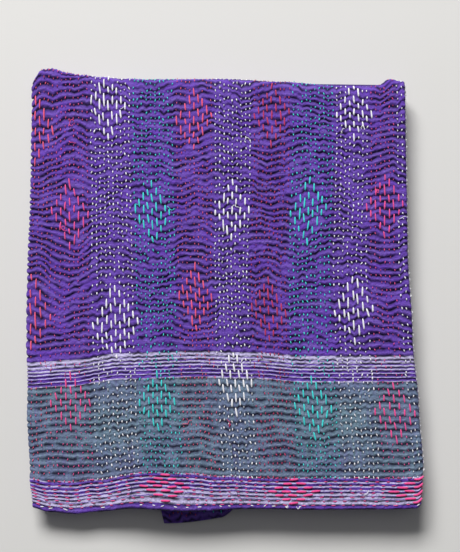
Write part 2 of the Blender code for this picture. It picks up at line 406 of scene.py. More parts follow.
def line_places(across, lines):
    """How far along each line crosses, for places over the width: one row for each line."""
    along = np.arange(0.0, LENGTH + LOOK_STEP, LOOK_STEP)
    found = np.empty((len(lines), len(across)))
    for column, place in enumerate(across):
        count = np.maximum.accumulate(ridge_count(np.full_like(along, place), along))
        found[:, column] = np.interp(lines, count, along)
    return found


LINES = int(ridge_count(np.array([0.0]), np.array([LENGTH]))[0])
print(f"{LINES} ridges, {BORDER_RIDGES} of them in the border")

# %% [markdown]
# ## The diamonds
#
# Where the thread passes over a whole ridge it shows as a long stitch. In every other place it only
# dips up into a line and shows as a dot. The maker skipped ridges by counting: one long stitch, then
# two, up to five, and back to one. So a diamond needs no drawing, only a rule on two counts: how
# many rows, and how many ridges, a stitch is from the diamond's middle.

# %% Where the diamonds are
DIAMOND_REACH, LARGE_REACH = 4, 5  # rows and ridges from its middle to its points
LARGE_DIAMOND = (-28, 0.1960)
# The diamonds, from the front of the quilt to the back: (middle row, how far it is from the hem)
DIAMONDS = (
    (-38, 0.1120), (-19, 0.1160), (0, 0.1350), (18, 0.1085), (35, 0.1060), (-46, 0.2190),
    LARGE_DIAMOND, (-9, 0.2300), (9, 0.2150), (28, 0.2130), (-38, 0.3220), (-19, 0.3250),
    (0, 0.3290), (18, 0.3280), (35, 0.3310), (-46, 0.4120), (-29, 0.4390), (-9, 0.4290),
    (9, 0.4310), (28, 0.4390),
)
LAST_SHOWN = 78  # the lines beyond this one are under the top run


def nearest_group(row):
    return min(GROUPS, key=lambda group: abs(group[0] - row))


NARROW_FROM = BORDER_RIDGES - ZONES[-1][1]  # the line at which the upper stripes start


def ridge_steps():
    """The lines that the long stitches step by: each one, but every other one in the upper stripes."""
    narrow = range(NARROW_FROM + 1, BORDER_RIDGES, 2)
    return [line for line in range(STRIPES_END, LAST_SHOWN) if line not in narrow]


STRIPES_END = 8  # the line at which the lower stripes end
STEPS = ridge_steps()
long_stitches = {}  # (row, first line) to the line it ends in, and its colour
diamond_cells = set()  # (row, line) inside a diamond, where no dots show
for middle_row, distance in DIAMONDS:
    middle_count = ridge_count(
        np.array([MIDDLE_ROW_AT + middle_row * ROW_GAP]), np.array([distance])
    )[0]
    middle_step = int(np.searchsorted(STEPS, middle_count)) - 1
    reach = LARGE_REACH if (middle_row, distance) == LARGE_DIAMOND else DIAMOND_REACH
    for over in range(-reach, reach + 1):
        for step in range(-reach, reach + 1):
            if abs(over) + abs(step) > reach:
                continue
            first, last = STEPS[middle_step + step], STEPS[middle_step + step + 1]
            diamond_cells.update((middle_row + over, line) for line in range(first, last + 1))
            if (over + step + reach) % 2 == 0:
                long_stitches[middle_row + over, first] = last, nearest_group(middle_row)[1]
print(len(DIAMONDS), "diamonds with", len(long_stitches), "long stitches in all")

# %% [markdown]
# ## The shape of a ridge
#
# Seen from the side, a ridge is a round rope and a line is a sharp crease. The power of a sine has
# that shape. Each stitch also pinches the ridges beside it, so along its length a ridge is a string
# of pillows, more so where the thread was pulled tight. Some creases are deep and some hardly show,
# and a long stitch presses down the ridge that it crosses. A ridge must lie flat where another
# layer rests on it, so its height fades out in the places that nobody can see.

# %% How high the cloth stands
ROUNDNESS = 0.56  # below 1, the ridges are full and the creases narrow
CREST_SHARE = 0.45  # how much of a ridge's height stands above the plain cloth
SHALLOWEST = 0.65  # how much a crease can lose of its depth
PINCH, TIGHT_PINCH = 0.40, 0.58  # how much lower a ridge is beside a stitch than between two
PRESSED = 0.30  # how much a long stitch flattens the ridge under it
ROWS_HELD, LINES_HELD = 160, 100
pressed_table = np.zeros((ROWS_HELD, LINES_HELD))
for (row, first), (last, _) in long_stitches.items():
    pressed_table[row + ROWS_HELD // 2, first:last] = 1.0


def pressed(rows, ridges):
    """1 in the middle of a long stitch, fading to 0 half a row beside it."""
    nearest = np.clip(np.round(rows).astype(int) + ROWS_HELD // 2, 0, ROWS_HELD - 1)
    ridge = np.clip(np.floor(ridges).astype(int), 0, LINES_HELD - 1)
    beside = ease(1 - 2.2 * np.abs(rows - np.round(rows)))
    return pressed_table[nearest, ridge] * beside * np.sin(math.pi * (ridges - np.floor(ridges)))


def full_height(rows, ridges, distance):
    """How high a ridge stands there: lower in the border, and no two alike."""
    ends = [STRIP_END / 2, 0.010, 0.030, 0.040, 0.135, 0.142, 0.165, 0.180]
    heights = [zone[2] for zone in ZONES for _ in (0, 1)][1:] + [RIDGE_HEIGHT]
    return np.interp(distance, ends, heights) * (1 + 0.24 * per_stitch(rows / 2, ridges, 1))


def shown_share(across, along):
    """1 where the relief is in full view, 0 where it is shut in between the layers."""
    facing_x, facing_up = side_folded(across)[2:]
    middle = (across > LEFT_TURN - LEFT_ARC) & (across < RIGHT_TURN + RIGHT_ARC)
    part = np.searchsorted(RUN_ENDS[:-1], along)
    starts = np.array([0.0, *RUN_ENDS])[part]
    bend = np.sin(np.clip((along - starts) / (2.5 * PITCH), 0, math.pi))
    side = 0.55 * np.abs(facing_x)
    share = np.where(part % 2 == 0, side, 0.0)
    share = np.where((part == 1) | (part == 5), np.where(middle, bend, 0.0), share)
    share = np.where(part == 3, np.where(middle, side, 0.8 * bend), share)
    top = (part == 0) | ((part == 1) & (along - starts < math.pi * 1.25 * PITCH))
    stretched = 1 - 0.55 * ease((along - RUN_ENDS[0] + 0.012) / 0.012) * ease((across + 0.150) / 0.03)
    share = np.where(top & middle, ease(facing_up * 2 + 1.4) * stretched, share)
    flap = (part == 6) & (across > RIGHT_TURN + RIGHT_ARC)
    return np.where(flap, 0.6 * ease((along - LENGTH + 0.035) / 0.01), share)


def crease_depth(rows, ridges):
    """How deep a crease is there: 1 is full depth. It changes every stitch or two."""
    tossed = 0.30 + 0.85 * per_stitch(rows / 1.3, ridges, 3) + 0.35 * per_stitch(rows / 4, ridges / 2, 5)
    return 1 - SHALLOWEST * ease(tossed)


def pinched(rows, distance):
    """How far the stitches pinch the ridges: most in the white groups and in the grey band."""
    return PINCH + (TIGHT_PINCH - PINCH) * tightness(rows, distance)


def relief(across, along):
    """How far the cloth stands above or below its plain surface."""
    rows, ridges, distance = row_number(across), ridge_count(across, along), from_hem(across, along)
    rope = np.abs(np.sin(math.pi * ridges)) ** ROUNDNESS
    rope = 1 - (1 - rope) * crease_depth(rows, ridges)
    rope = rope * (1 - pinched(rows, distance) * (1 - np.abs(np.sin(math.pi * rows))))
    rope = rope - PRESSED * pressed(rows, ridges) + 0.16 * per_stitch(2 * rows, 2 * ridges, 2) * rope
    return full_height(rows, ridges, distance) * (rope - (1 - CREST_SHARE)) * shown_share(across, along)


# %% [markdown]
# ## The cloth as one mesh
#
# The quilt is one closed sheet, with a face, a back and a rounded hem. A net of points is laid over
# the flat quilt, with its threads along the stitch rows and the quilting lines, since that puts
# points just where the cloth bends. A net that fine over all twelve layers would be far too heavy,
# and most of it is shut in. So small faces are used where the cloth shows, and large many-sided ones
# elsewhere. A large face takes every point of its small neighbours into its edge, so no gap opens.

# %% The threads of the net
STEPS_IN_VIEW = (0.0, 0.12, 0.35, 0.65, 0.88)  # shares of a ridge, closest at its creases
STEPS_AT_SIDES = (0.0, 0.34, 0.67)
HALF_ROWS = np.arange(-400, 400) * ROW_GAP / 2 + MIDDLE_ROW_AT


def between_turns(low, high, gap=0.0008):
    return HALF_ROWS[(HALF_ROWS > low + gap) & (HALF_ROWS < high - gap)]


LEFT_PANEL_SHOWN = LEFT_TURN - LEFT_ARC - 0.150  # beyond this the right panel covers the left one
net_across = np.concatenate([
    np.linspace(LEFT_END, LEFT_PANEL_SHOWN, 5),
    between_turns(LEFT_PANEL_SHOWN, LEFT_TURN - LEFT_ARC),
    np.linspace(LEFT_TURN - LEFT_ARC, LEFT_TURN, 6),
    between_turns(LEFT_TURN, RIGHT_TURN),
    np.linspace(RIGHT_TURN, RIGHT_TURN + RIGHT_ARC, 8),
    between_turns(RIGHT_TURN + RIGHT_ARC, RIGHT_END),
    [RIGHT_END],
])
middle_of_panel = np.zeros(1)
fold_margin = 0.006
net_lines = []
for line in range(LINES):
    place = line_places(middle_of_panel, [line])[0, 0]
    part = int(np.searchsorted(RUN_ENDS[:-1], place))
    near_fold = min(abs(place - end) for end in RUN_ENDS[:-1]) < fold_margin
    in_view = part == 0 or part % 2 == 1 or near_fold or place > LENGTH - 0.04
    net_lines += [line + step for step in (STEPS_IN_VIEW if in_view else STEPS_AT_SIDES)]
net_along = line_places(net_across, net_lines)
last_full = int(np.searchsorted(-(LENGTH - net_along).min(axis=1), -0.0012))
net_along = np.vstack([net_along[:last_full], np.full(len(net_across), LENGTH)])
net_along[0] = 0.0
rows_of_net, columns_of_net = net_along.shape
print(rows_of_net, "threads one way and", columns_of_net, "the other")

# %% Which parts of the net are seen from near
bands = [0.0, RUN_ENDS[0] - 0.002, RUN_ENDS[1] + 0.004]
for fold in (1, 2):
    bands += [RUN_ENDS[2 * fold] - 0.004, RUN_ENDS[2 * fold + 1] + 0.004]
bands += [LENGTH - 0.036]
middle_column = int(np.argmin(np.abs(net_across)))
row_bands = [int(np.searchsorted(net_along[:, middle_column], place)) for place in bands]
row_bands.append(rows_of_net - 1)
column_bands = [int(np.argmin(np.abs(net_across - place))) for place in (
    LEFT_END, LEFT_PANEL_SHOWN, LEFT_TURN - LEFT_ARC, LEFT_TURN, RIGHT_TURN,
    RIGHT_TURN + RIGHT_ARC, RIGHT_END,
)]
FINE, FAR, BENT, UNDER = (1, 1), (45, 14), (4, 10), (1, 4)
# Steps of the net, for each stretch of the length (rows) and of the width (columns):
# hidden left panel, left panel in the front fold, left fold, middle, right fold, right panel
FACE_STEPS = (
    (FAR, FAR, FINE, FINE, FINE, FAR),  # top run
    (BENT, BENT, FINE, FINE, FINE, BENT),  # back fold
    (FAR, FAR, FINE, FAR, FINE, FAR),  # second run
    (BENT, FINE, FINE, BENT, FINE, FINE),  # front fold
    (FAR, FAR, FINE, FAR, FINE, FAR),  # third run
    (BENT, BENT, FINE, FINE, FINE, BENT),  # lower back fold
    (FAR, FAR, FINE, UNDER, FINE, FAR),  # bottom run
    (FAR, FAR, FINE, UNDER, FINE, FINE),  # bottom run's hem
)
BACK_STEPS = tuple(
    tuple((steps, (steps[0], 2))[column in (2, 4)] for column, steps in enumerate([row] * 6))
    for row in (FAR, BENT, FAR, BENT, FAR, BENT, FAR, (8, 14))
)


def cells(steps):
    """The net's faces, each as its first and last thread both ways."""
    found = []
    for band, kinds in enumerate(steps):
        for strip, (row_step, column_step) in enumerate(kinds):
            first, last = row_bands[band], row_bands[band + 1]
            row_cuts = [*range(first, last, row_step), last]
            start, end = column_bands[strip], column_bands[strip + 1]
            column_cuts = [*range(start, end, column_step), end]
            found += [
                (r0, r1, c0, c1)
                for r0, r1 in zip(row_cuts, row_cuts[1:])
                for c0, c1 in zip(column_cuts, column_cuts[1:])
            ]
    return found


def corners_of(cell_list):
    used = np.zeros(net_along.shape, bool)
    for r0, r1, c0, c1 in cell_list:
        used[[r0, r0, r1, r1], [c0, c1, c0, c1]] = True
    return used


face_cells, back_cells = cells(FACE_STEPS), cells(BACK_STEPS)
used_on = {1: corners_of(face_cells), -1: corners_of(back_cells)}
rim = np.zeros(net_along.shape, bool)
rim[[0, -1], :], rim[:, [0, -1]] = True, True
on_rim = rim & (used_on[1] | used_on[-1])
on_rim[[0, -1], ::3] = True
for used in used_on.values():
    used |= on_rim
print(len(face_cells), "faces on the cloth's face and", len(back_cells), "on its back")

# %% [markdown]
# Each point of the net now gets its place: its spot on the flat quilt, lifted by half the cloth's
# thickness and by the relief, and folded. The back of the cloth is shut in, so it stays smooth.
# Two things are written down for every point, for the finishes to use later: its place in the
# woven cloth, and its place in the quilting. The flat layout for baking gives most room to the top.

# %% Points, faces and hem
net_wide = np.broadcast_to(net_across, net_along.shape)
surface = {
    1: folded(net_wide, net_along, CLOTH / 2 + relief(net_wide, net_along)),
    -1: folded(net_wide, net_along, -CLOTH / 2),
}
surface[1][..., 2] = np.maximum(surface[1][..., 2], 0.0)
number = {}
points = []
for side, used in used_on.items():
    number[side] = np.full(net_along.shape, -1)
    number[side][used] = np.arange(used.sum()) + len(points)
    points = [*points, *surface[side][used]]


def outline(cell, used):
    """The used points round a face, in order."""
    r0, r1, c0, c1 = cell
    walk = [(r0, c) for c in range(c0, c1) if used[r0, c]]
    walk += [(r, c1) for r in range(r0, r1) if used[r, c1]]
    walk += [(r1, c) for c in range(c1, c0, -1) if used[r1, c]]
    return walk + [(r, c0) for r in range(r1, r0, -1) if used[r, c0]]


HEM_NOSE = 0.0008
whole = (0, rows_of_net - 1, 0, columns_of_net - 1)
rim_walk = outline(whole, on_rim)


def inward(row, column):
    return (
        min(max(row, 1), rows_of_net - 2),
        min(max(column, 1), columns_of_net - 2),
    )


def nose(row, column):
    """The rounded edge of the hem beside a point of the rim."""
    middle = (surface[1][row, column] + surface[-1][row, column]) / 2
    behind = inward(row, column)
    away = middle - (surface[1][behind] + surface[-1][behind]) / 2
    return middle + away / np.linalg.norm(away) * HEM_NOSE


noses = [len(points) + place for place in range(len(rim_walk))]
points += [nose(row, column) for row, column in rim_walk]

# %% The layout for baking, with most room for what is seen
ROOM_FOR_HIDDEN = 0.12
LAYOUT_MARGIN, LAYOUT_BACK = 0.012, 0.05


def layout_places(lengths, seen):
    steps = np.diff(lengths)
    room = np.cumsum([0.0, *(steps * np.where(seen, 1.0, ROOM_FOR_HIDDEN))])
    return LAYOUT_MARGIN + (1 - 2 * LAYOUT_MARGIN) * room / room[-1]


columns_seen = np.zeros(columns_of_net - 1, bool)
columns_seen[column_bands[2]:column_bands[5]] = True
rows_seen = np.arange(rows_of_net - 1) < row_bands[2]
layout_across = layout_places(net_across, columns_seen) * (1 - LAYOUT_BACK)
layout_along = layout_places(net_along[:, middle_column], rows_seen)


def layout_place(side, row, column):
    if side > 0:
        return layout_across[column], layout_along[row]
    return 1 - LAYOUT_BACK + layout_across[column] * LAYOUT_BACK * 0.98, layout_along[row]


def beyond_rim(row, column, step):
    """A little outside the rim in the layout, where the hem's faces go."""
    over = (column == columns_of_net - 1) * step - (column == 0) * step
    up = (row == rows_of_net - 1) * step - (row == 0) * step
    return layout_across[column] + over, layout_along[row] + up


faces, layout = [], []
for side, cell_list in ((1, face_cells), (-1, back_cells)):
    for cell in cell_list:
        walk = outline(cell, used_on[side])[::side]
        faces.append([number[side][place] for place in walk])
        layout += [layout_place(side, *place) for place in walk]
for place, here in enumerate(rim_walk):
    after = (place + 1) % len(rim_walk)
    there = rim_walk[after]
    faces.append([number[1][here], noses[place], noses[after], number[1][there]])
    layout += [beyond_rim(*here, 0), beyond_rim(*here, 0.004), beyond_rim(*there, 0.004), beyond_rim(*there, 0)]
    faces.append([noses[place], number[-1][here], number[-1][there], noses[after]])
    layout += [beyond_rim(*here, 0.004), beyond_rim(*here, 0.008), beyond_rim(*there, 0.008), beyond_rim(*there, 0.004)]

# %% The quilt's mesh
quilt_mesh = bpy.data.meshes.new("kantha_quilt")
quilt_mesh.from_pydata([tuple(point) for point in points], [], faces)
bake_layout = quilt_mesh.uv_layers.new(name="OFBake")
bake_layout.uv.foreach_set("vector", np.array(layout, dtype=np.float32).ravel())
quilt_mesh.shade_smooth()


def spread_over_points(values):
    """One value for each point of the mesh, from values over the net."""
    on_noses = np.array([values[place] for place in rim_walk])
    return np.concatenate([values[used_on[1]], values[used_on[-1]], on_noses])


def write_down(mesh, name, values):
    made = mesh.attributes.new(name, "FLOAT_VECTOR", "POINT")
    made.data.foreach_set("vector", np.asarray(values, dtype=np.float32).ravel())


cloth_place = np.stack([net_wide, cloth_used(net_wide, net_along), from_hem(net_wide, net_along)], -1)
quilting = np.stack([
    row_number(net_wide), ridge_count(net_wide, net_along),
    crease_depth(row_number(net_wide), ridge_count(net_wide, net_along)),
], -1)
write_down(quilt_mesh, "cloth_place", spread_over_points(cloth_place))
write_down(quilt_mesh, "quilting", spread_over_points(quilting))
quilt = bpy.data.objects.new("quilt_cloth", quilt_mesh)
bpy.context.collection.objects.link(quilt)
triangles = sum(len(face) - 2 for face in faces)
print(f"the cloth has {len(points)} points and {triangles} triangles")

# %% [markdown]
# ## The stitches
#
# A stitch is a short piece of soft thread that comes up through the cloth, lies on it and goes down
# again. Each one is a real little tube, bent over the cloth and sunk in it at both ends, so it casts
# its own shadow in the crease. All the stitches of a colour are computed together, as arrays of
# rings, and joined into one mesh, because thousands of objects would be slow and hard to handle.

# %% Tubes along the cloth
THREAD = 0.00062  # the thread's radius
AROUND = 6


def spread_of(across, along):
    """Which way the width and the length run in space there, and which way is out of the cloth."""
    step = 0.0004
    wide = folded(across + step, along, CLOTH / 2) - folded(across - step, along, CLOTH / 2)
    down = folded(across, along + step, CLOTH / 2) - folded(across, along - step, CLOTH / 2)
    wide /= np.linalg.norm(wide, axis=-1, keepdims=True)
    out = np.cross(wide, down)
    return wide, out / np.linalg.norm(out, axis=-1, keepdims=True)


def tubes(centres, out, radii, flatness=1.0):
    """Points and faces of one tube along each row of centres, thinner at its ends."""
    count, rings = centres.shape[:2]
    ahead = np.gradient(centres, axis=1)
    ahead /= np.linalg.norm(ahead, axis=-1, keepdims=True)
    beside = np.cross(ahead, out)
    beside /= np.linalg.norm(beside, axis=-1, keepdims=True)
    over = np.cross(beside, ahead) * flatness
    turn = (np.arange(AROUND) / AROUND * 2 * math.pi)[:, None]
    swing = beside[:, :, None] * np.cos(turn) + over[:, :, None] * np.sin(turn)
    skins = centres[:, :, None] + swing * radii[..., None, None]
    skins[..., 2] = np.maximum(skins[..., 2], 0.0)
    start = np.arange(count)[:, None, None] * rings * AROUND
    ring = np.arange(rings - 1)[None, :, None] * AROUND
    here = np.arange(AROUND)[None, None, :]
    after = (here + 1) % AROUND
    sides = np.stack([
        start + ring + here, start + ring + AROUND + here,
        start + ring + AROUND + after, start + ring + after,
    ], -1)
    first_caps = start[:, 0] + np.arange(AROUND)
    last_caps = start[:, 0] + (rings - 1) * AROUND + np.arange(AROUND)[::-1]
    return skins.reshape(-1, 3), [*sides.reshape(-1, 4).tolist(), *first_caps.tolist(), *last_caps.tolist()]


# %% [markdown]
# A stitch is given by its middle and half its length on the flat quilt, so one function lays all
# kinds: dots, long stitches, and the dashes that run over the width in the border. `sew` collects
# them by colour. Each stitch also gets a chance number, for the thread's finish to use.

# %% Lay stitches on the cloth
THREADS = ("white", "aqua", "pink", "coral", "crimson", "violet")
sewn = {thread: [] for thread in THREADS}
THIN_ENDS = 0.5


def sew(thread, middle, half, rings, lift, radius, sunk, flatness=0.8):
    """Lays stitches through middle places on the flat quilt, reaching half to both ends of them."""
    share = np.linspace(-1, 1, rings)
    across = middle[:, :1] + half[:, :1] * share
    along = middle[:, 1:] + half[:, 1:] * share
    height = CLOTH / 2 + lift(across, along, share) - sunk * np.abs(share) ** 6
    wide_out = spread_of(across, along)
    radii = radius[:, None] * (1 - (1 - THIN_ENDS) * np.abs(share) ** 3)
    sewn[thread].append((folded(across, along, height), wide_out[1], radii, flatness))


def on_crease(across, along, share):
    """A dot bridges its crease, half way up the ridges."""
    rows, ridges = row_number(across), ridge_count(across, along)
    height = full_height(rows, ridges, from_hem(across, along)) * shown_share(across, along)
    low = relief(across[:, 2:3], along[:, 2:3])
    return np.maximum(low, -0.3 * height) + 0.0003 + 0.50 * height * (1 - 0.35 * share ** 2)


def over_ridge(across, along, share):
    """A long stitch is tight over its ridge, so it bridges the creases on both sides."""
    return 0.45 * relief(across, along) + 0.0010


# %% The dots and the long stitches
# For each colour: how long its dots are, how thick the thread, and what share of them shows
LOOKS = {
    "white": (0.0027, 0.00066, 0.94), "aqua": (0.0027, 0.00058, 0.90),
    "pink": (0.0023, 0.00046, 0.86), "coral": (0.0023, 0.00046, 0.86),
    "crimson": (0.0026, 0.00056, 0.88),
}
LONG_RADIUS = {"white": 0.00102, "aqua": 0.00095}
BEYOND = ("coral", "pink", "white", "aqua", "crimson", "white")


def thread_of(row):
    """The colour of a row of stitching."""
    if GROUPS[0][0] - 5 <= row <= GROUPS[-1][0] + 4:
        return nearest_group(row)[1]
    return BEYOND[int(row // 9) % len(BEYOND)]


rows = np.arange(math.ceil(row_number(LEFT_END)) + 1, int(row_number(RIGHT_END)))
row_places = MIDDLE_ROW_AT + rows * ROW_GAP
crossings = line_places(row_places, np.arange(LINES))
for column, row in enumerate(rows):
    thread = thread_of(row)
    length, radius, share_shown = LOOKS[thread]
    place = np.full(LINES, row_places[column])
    share_here = np.where((np.arange(LINES) > NARROW_FROM) & (np.arange(LINES) <= BORDER_RIDGES), 0.4, 1.0)
    shows = (shown_share(place, crossings[:, column]) > 0.2) & (chance.random(LINES) < share_shown * share_here)
    shows &= (np.arange(LINES) >= STRIPES_END) & (crossings[:, column] < LENGTH - 0.004)
    lines = [line for line in np.flatnonzero(shows) if (row, line) not in diamond_cells]
    if lines:
        middle = np.stack([place[lines], crossings[lines, column]], -1)
        middle += chance.normal(0, 0.00038, middle.shape)
        half = length / 2 * chance.uniform(0.6, 1.35, (len(lines), 1))
        slant = chance.normal(0.0, 0.22, (len(lines), 1))
        sew(thread, middle, np.hstack([half * slant, half]), 5, on_crease,
            radius * chance.uniform(0.75, 1.25, len(lines)), 0.0002)
for (row, first), (last, thread) in long_stitches.items():
    column = row - rows[0]
    start, end = crossings[first, column], crossings[last, column]
    middle = np.array([[row_places[column], (start + end) / 2]]) + chance.normal(0, 0.00025, (1, 2))
    half = np.array([[chance.normal(-0.00025, 0.0003), (end - start) / 2 * chance.uniform(1.10, 1.32)]])
    radius = LONG_RADIUS.get(thread, 0.00086) * chance.uniform(0.9, 1.1, 1)
    sew(thread, middle, half, 11, over_ridge, radius, 0.0010)


# %% The dashes in the border
DASH_GAP, DASH = 0.0105, 0.0040
HEM_DASH_GAP, HEM_DASH = 0.0131, 0.0046
WIDE_DASH_GAP, WIDE_DASH = 0.0080, 0.0108
# Small diamonds of dashes in the lower stripes: (middle, from the quilt's own middle)
DASH_DIAMONDS = (-0.0705, 0.0790, 0.2060)
DASH_ROWS = 7


def on_line(across, line):
    """How far along the quilt a line is at each place over the width."""
    return line_places(across, [line])[0]


def dash_diamond_places():
    """(line, place over the width) of the long dashes, by the rule of the big diamonds."""
    reach = DASH_ROWS // 2
    for middle in DASH_DIAMONDS:
        for row in range(DASH_ROWS):
            for over in range(-reach, reach + 1):
                if abs(over) + abs(row - reach) <= reach and (over + row) % 2 == 0:
                    yield row + 1.5, middle + over * WIDE_DASH_GAP


def clear_of_diamonds(across, line):
    wide = WIDE_DASH_GAP * (DASH_ROWS / 2 + 1 - abs(line - 1 - DASH_ROWS / 2))
    return all(abs(across - middle) > wide for middle in DASH_DIAMONDS)


def lies_low(across, along, share):
    return relief(across, along) + 0.0003


for line in range(1, STRIPES_END + 1):
    start = LEFT_TURN - 0.002 + chance.uniform(0, DASH_GAP)
    places = np.arange(start, RIGHT_TURN + 0.006, DASH_GAP)
    places = np.array([place for place in places if clear_of_diamonds(place, line)])
    places += chance.normal(0, 0.0005, len(places))
    middle = np.stack([places, on_line(places, line)], -1)
    half = DASH / 2 * chance.uniform(0.55, 1.25, (len(places), 1))
    half = np.hstack([half, half * chance.normal(0, 0.12, half.shape)])
    sew("pink", middle, half, 5, on_crease, 0.00048 * chance.uniform(0.8, 1.2, len(places)), 0.0002)
for line, place in dash_diamond_places():
    places = np.array([place + chance.normal(0, 0.0004)])
    middle = np.stack([places, on_line(places, line)], -1)
    half = np.array([[WIDE_DASH / 2 * chance.uniform(0.9, 1.1), chance.normal(0, 0.0003)]])
    sew("pink", middle, half, 9, lies_low, np.array([0.00125]), 0.0011)
for place in np.arange(LEFT_TURN + 0.004, RIGHT_TURN + 0.004, HEM_DASH_GAP):
    places = np.array([place + chance.normal(0, 0.0014)])
    if chance.random() > (0.78 if place < 0.09 else 0.25):
        continue
    middle = np.stack([places, on_line(places, 0.66)], -1)
    half = np.array([[HEM_DASH / 2 * chance.uniform(0.5, 1.1), chance.normal(0, 0.0004)]])
    sew("white", middle, half, 7, lies_low, np.array([0.00055]), 0.0009)

# %% [markdown]
# A hand-made quilt has loose ends: tails where a thread was tied off, small loops, and tufts. Each is
# a short tube that wanders over the cloth, given by where it starts, which way it heads, how long it
# is and how far it turns on its way. They make the quilt look used, and there is no rule in them.

# %% Loose ends
# (thread, start over the width, from the hem, heading in degrees, length, turn in degrees)
LOOSE_ENDS = (
    ("pink", -0.1630, 0.4235, 100, 0.014, 320), ("pink", -0.1680, 0.4055, -45, 0.009, 60),
    ("white", -0.1096, 0.4395, 10, 0.006, 40), ("white", -0.1406, 0.4135, 80, 0.007, -90),
    ("pink", -0.1745, 0.3040, 30, 0.016, 400), ("aqua", -0.0908, 0.3320, 160, 0.005, 50),
    ("aqua", -0.0586, 0.3300, -70, 0.011, 100), ("white", 0.0200, 0.3320, -60, 0.010, 70),
    ("white", 0.0195, 0.3315, -120, 0.009, -50), ("white", 0.1630, 0.4170, 40, 0.012, 260),
    ("white", 0.1418, 0.4190, 200, 0.008, 80), ("white", 0.0368, 0.4000, 70, 0.014, 200),
    ("pink", 0.1776, 0.3467, 20, 0.010, 420), ("pink", 0.1780, 0.3460, 140, 0.007, -60),
    ("white", 0.1425, 0.2907, 120, 0.008, 90), ("white", 0.2014, 0.3150, 60, 0.008, -70),
    ("white", 0.1520, 0.0160, 20, 0.008, 50), ("crimson", 0.0078, 0.0885, 75, 0.009, 60),
    ("crimson", 0.0085, 0.0880, 120, 0.007, -80), ("crimson", 0.0070, 0.0882, 30, 0.006, 100),
    ("coral", -0.0420, 0.0885, 80, 0.008, -70), ("coral", -0.0415, 0.0880, 130, 0.007, 90),
    ("white", 0.0690, 0.0040, -70, 0.006, 200), ("white", 0.0860, 0.0040, -100, 0.006, -160),
    ("violet", -0.1090, 0.0690, -75, 0.022, -20), ("violet", -0.1035, 0.0460, -95, 0.021, -35),
    ("violet", -0.1040, 0.0250, -118, 0.020, 25), ("violet", 0.0057, 0.0745, -80, 0.027, 8),
    ("violet", 0.0102, 0.0470, -85, 0.026, 30), ("violet", 0.0122, 0.0210, -70, 0.016, 30),
)
HEM_TO_BACK = np.linspace(0, RUN_ENDS[0], 800)
LOOSE_RADIUS = {"violet": 0.00028, "white": 0.00042}
for thread, across, distance, heading, length, turn in LOOSE_ENDS:
    rings = 15
    share = np.linspace(0, 1, rings)
    way = np.radians(heading + turn * share + 25 * np.sin(9 * share + 200 * across))
    step = length / (rings - 1)
    places = across + np.cumsum(np.cos(way)) * step
    begin = float(np.interp(distance, from_hem(np.full(800, across), HEM_TO_BACK), HEM_TO_BACK))
    places_along = begin + np.cumsum(np.sin(way)) * step
    height = CLOTH / 2 + relief(places, places_along) + 0.0005 + 0.0011 * np.sin(math.pi * share)
    radii = LOOSE_RADIUS.get(thread, 0.00045) * (1 - 0.4 * share)
    out = spread_of(places, places_along)[1]
    sewn[thread].append((folded(places, places_along, height)[None], out[None], radii[None], 1.0))
print(len(LOOSE_ENDS), "loose ends")

# %% One mesh for each colour of thread
def thread_mesh(thread):
    """All the stitches of one colour as one mesh, with each stitch's own chance number."""
    points, faces, along_thread = [], [], []
    for centres, out, radii, flatness in sewn[thread]:
        skins, quads = tubes(centres, out, radii, flatness)
        offset = sum(len(part) for part in points)
        faces += [[corner + offset for corner in face] for face in quads]
        points.append(skins)
        count, rings = centres.shape[:2]
        step = np.linalg.norm(np.diff(centres, axis=1), axis=-1)
        run = np.concatenate([np.zeros((count, 1)), np.cumsum(step, 1)], 1)
        turn = np.arange(AROUND) / AROUND
        cleaner = 1.0 if rings == 5 else 0.55
        chances = cleaner * chance.random((count, 1, 1))
        place = np.broadcast_arrays(run[:, :, None], turn[None, None, :], chances)
        along_thread.append(np.stack(place, -1).reshape(-1, 3))
    mesh = bpy.data.meshes.new(f"{thread}_stitches")
    mesh.from_pydata(np.concatenate(points).tolist(), [], faces)
    mesh.shade_smooth()
    write_down(mesh, "along_thread", np.concatenate(along_thread))
    piece = bpy.data.objects.new(f"{thread}_stitches", mesh)
    bpy.context.collection.objects.link(piece)
    print(f"{thread}: {sum(len(face) - 2 for face in faces)} triangles of stitches")
    return piece


stitches = {thread: thread_mesh(thread) for thread in THREADS}

# %% [markdown]
# ## The finishes
#
# A finish is a tree of shader nodes. Three effects are used by more than one finish here, and each is
# a node group with its own inputs and outputs: soft lint on cotton, the fading of washed dye, and the
# twist of plied thread. A small helper makes a node, sets its inputs and links it, so each tree can
# be read from its first node to its last.

# %% A helper for node trees
def node(tree, kind, inputs=(), **settings):
    """Makes a node, with its inputs set to values or linked to other nodes' outputs."""
    made = tree.nodes.new(kind)
    for name, value in settings.items():
        setattr(made, name, value)
    for name, value in dict(inputs).items():
        if isinstance(value, bpy.types.NodeSocket):
            tree.links.new(value, made.inputs[name])
        else:
            made.inputs[name].default_value = value
    return made


def maths(tree, operation, *values):
    """The result of a Math node."""
    return node(tree, "ShaderNodeMath", enumerate(values), operation=operation).outputs[0]


def mixed(tree, share, first, second, blend="MIX"):
    """Two colours mixed."""
    inputs = {0: share, 6: first, 7: second}
    return node(tree, "ShaderNodeMix", inputs, data_type="RGBA", blend_type=blend).outputs[2]


def noise(tree, place, stretch, detail=2.0):
    """Soft noise with so many blotches to a metre each way."""
    scaled = node(tree, "ShaderNodeVectorMath", {0: place, 1: stretch}, operation="MULTIPLY").outputs[0]
    return node(tree, "ShaderNodeTexNoise", {"Vector": scaled, "Scale": 1.0, "Detail": detail}).outputs[0]


